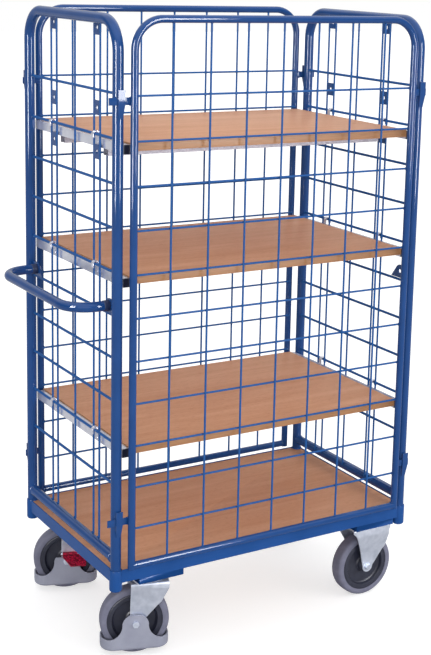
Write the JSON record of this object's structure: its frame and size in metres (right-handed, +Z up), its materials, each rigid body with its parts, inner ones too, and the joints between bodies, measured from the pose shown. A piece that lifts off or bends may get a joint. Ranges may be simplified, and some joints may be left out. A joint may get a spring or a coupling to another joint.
{
  "type": "shelf trolley",
  "caption": "Tall wheeled trolley with wire-mesh end walls, lift-off mesh long walls, hook-on wooden shelves, a push handle and braked swivel castors.",
  "frame": {"origin": "middle of the whole trolley's box, on the floor", "axes": "+Z up, +X along the trolley away from the push handle, +Y from the pictured long side to the back"},
  "size_m": [1.146, 0.668, 1.825],
  "materials": {
    "blue_paint": "gloss powder coat",
    "beech_board": "beech-effect laminate",
    "zinc_steel": "zinc plated",
    "grey_rubber": "matt grey",
    "dark_plastic": "moulded",
    "grey_plastic": "moulded",
    "red_plastic": "moulded",
    "black_plastic": "moulded",
    "navy_plastic": "moulded",
    "bearing_nylon": "moulded"
  },
  "bodies": {
    "trolley": {"base_rails": "blue_paint", "castor_channels": "blue_paint", "corner_sockets": "blue_paint", "deck_board": "beech_board", "left_end_frame": "blue_paint", "left_end_wires": "blue_paint", "right_end_frame": "blue_paint", "right_end_wires": "blue_paint", "end_plates": "blue_paint", "wall_keepers": "blue_paint", "handle_lugs": "blue_paint", "push_handle": "blue_paint", "handle_sleeves": "navy_plastic", "hex_bolts": "zinc_steel", "swivel_plates": "zinc_steel", "swivel_kingpins": "zinc_steel", "fixed_forks": "zinc_steel", "fixed_axles": "zinc_steel"},
    "front_wall": {"front_wall_frame": "blue_paint", "front_wall_wires": "blue_paint"},
    "back_wall": {"back_wall_frame": "blue_paint", "back_wall_wires": "blue_paint"},
    "top_shelf": {"top_shelf_board": "beech_board", "top_shelf_end_rails": "zinc_steel", "top_shelf_under_rails": "zinc_steel", "top_shelf_hooks": "zinc_steel", "top_shelf_screws": "zinc_steel", "top_shelf_caps": "black_plastic"},
    "middle_shelf": {"middle_shelf_board": "beech_board", "middle_shelf_end_rails": "zinc_steel", "middle_shelf_under_rails": "zinc_steel", "middle_shelf_hooks": "zinc_steel", "middle_shelf_screws": "zinc_steel", "middle_shelf_caps": "black_plastic"},
    "lower_shelf": {"lower_shelf_board": "beech_board", "lower_shelf_end_rails": "zinc_steel", "lower_shelf_under_rails": "zinc_steel", "lower_shelf_hooks": "zinc_steel", "lower_shelf_screws": "zinc_steel", "lower_shelf_caps": "black_plastic"},
    "front_swivel": {"front_swivel_fork": "zinc_steel", "front_swivel_pins": "zinc_steel", "front_foot_guard": "grey_plastic"},
    "front_swivel_wheel": {"front_swivel_bearing": "bearing_nylon", "front_swivel_rim": "dark_plastic", "front_swivel_tyre": "grey_rubber"},
    "front_pedal": {"front_brake_pedal": "red_plastic"},
    "front_fixed_wheel": {"front_fixed_bearing": "bearing_nylon", "front_fixed_rim": "dark_plastic", "front_fixed_tyre": "grey_rubber"},
    "back_swivel": {"back_swivel_fork": "zinc_steel", "back_swivel_pins": "zinc_steel", "back_foot_guard": "grey_plastic"},
    "back_swivel_wheel": {"back_swivel_bearing": "bearing_nylon", "back_swivel_rim": "dark_plastic", "back_swivel_tyre": "grey_rubber"},
    "back_pedal": {"back_brake_pedal": "red_plastic"},
    "back_fixed_wheel": {"back_fixed_bearing": "bearing_nylon", "back_fixed_rim": "dark_plastic", "back_fixed_tyre": "grey_rubber"}
  },
  "joints": [
    {"name": "front_wall_lift", "type": "slide", "parent": "trolley", "child": "front_wall", "axis": [0, 0, 1], "range_m": [0, 0.06]},
    {"name": "back_wall_lift", "type": "slide", "parent": "trolley", "child": "back_wall", "axis": [0, 0, 1], "range_m": [0, 0.06]},
    {"name": "top_shelf_lift", "type": "slide", "parent": "trolley", "child": "top_shelf", "axis": [0, 0, 1], "range_m": [0, 0.035]},
    {"name": "middle_shelf_lift", "type": "slide", "parent": "trolley", "child": "middle_shelf", "axis": [0, 0, 1], "range_m": [0, 0.035]},
    {"name": "lower_shelf_lift", "type": "slide", "parent": "trolley", "child": "lower_shelf", "axis": [0, 0, 1], "range_m": [0, 0.035]},
    {"name": "front_swivel_turn", "type": "hinge", "parent": "trolley", "child": "front_swivel", "pos_m": [-0.308, -0.243, 0.24], "axis": [0, 0, 1], "continuous": true},
    {"name": "front_swivel_roll", "type": "hinge", "parent": "front_swivel", "child": "front_swivel_wheel", "pos_m": [-0.35311, -0.22658, 0.1], "axis": [0.342, 0.9397, 0], "continuous": true},
    {"name": "front_pedal_press", "type": "hinge", "parent": "front_swivel", "child": "front_pedal", "pos_m": [-0.33806, -0.18524, 0.124], "axis": [-0.9397, 0.342, 0], "range_deg": [0, 12]},
    {"name": "front_fixed_roll", "type": "hinge", "parent": "trolley", "child": "front_fixed_wheel", "pos_m": [0.44, -0.243, 0.1], "axis": [0, 1, 0], "continuous": true},
    {"name": "back_swivel_turn", "type": "hinge", "parent": "trolley", "child": "back_swivel", "pos_m": [-0.308, 0.243, 0.24], "axis": [0, 0, 1], "continuous": true},
    {"name": "back_swivel_roll", "type": "hinge", "parent": "back_swivel", "child": "back_swivel_wheel", "pos_m": [-0.35311, 0.25942, 0.1], "axis": [0.342, 0.9397, 0], "continuous": true},
    {"name": "back_pedal_press", "type": "hinge", "parent": "back_swivel", "child": "back_pedal", "pos_m": [-0.36815, 0.21807, 0.124], "axis": [0.9397, -0.342, 0], "range_deg": [0, 12]},
    {"name": "back_fixed_roll", "type": "hinge", "parent": "trolley", "child": "back_fixed_wheel", "pos_m": [0.44, 0.243, 0.1], "axis": [0, 1, 0], "continuous": true}
  ]
}
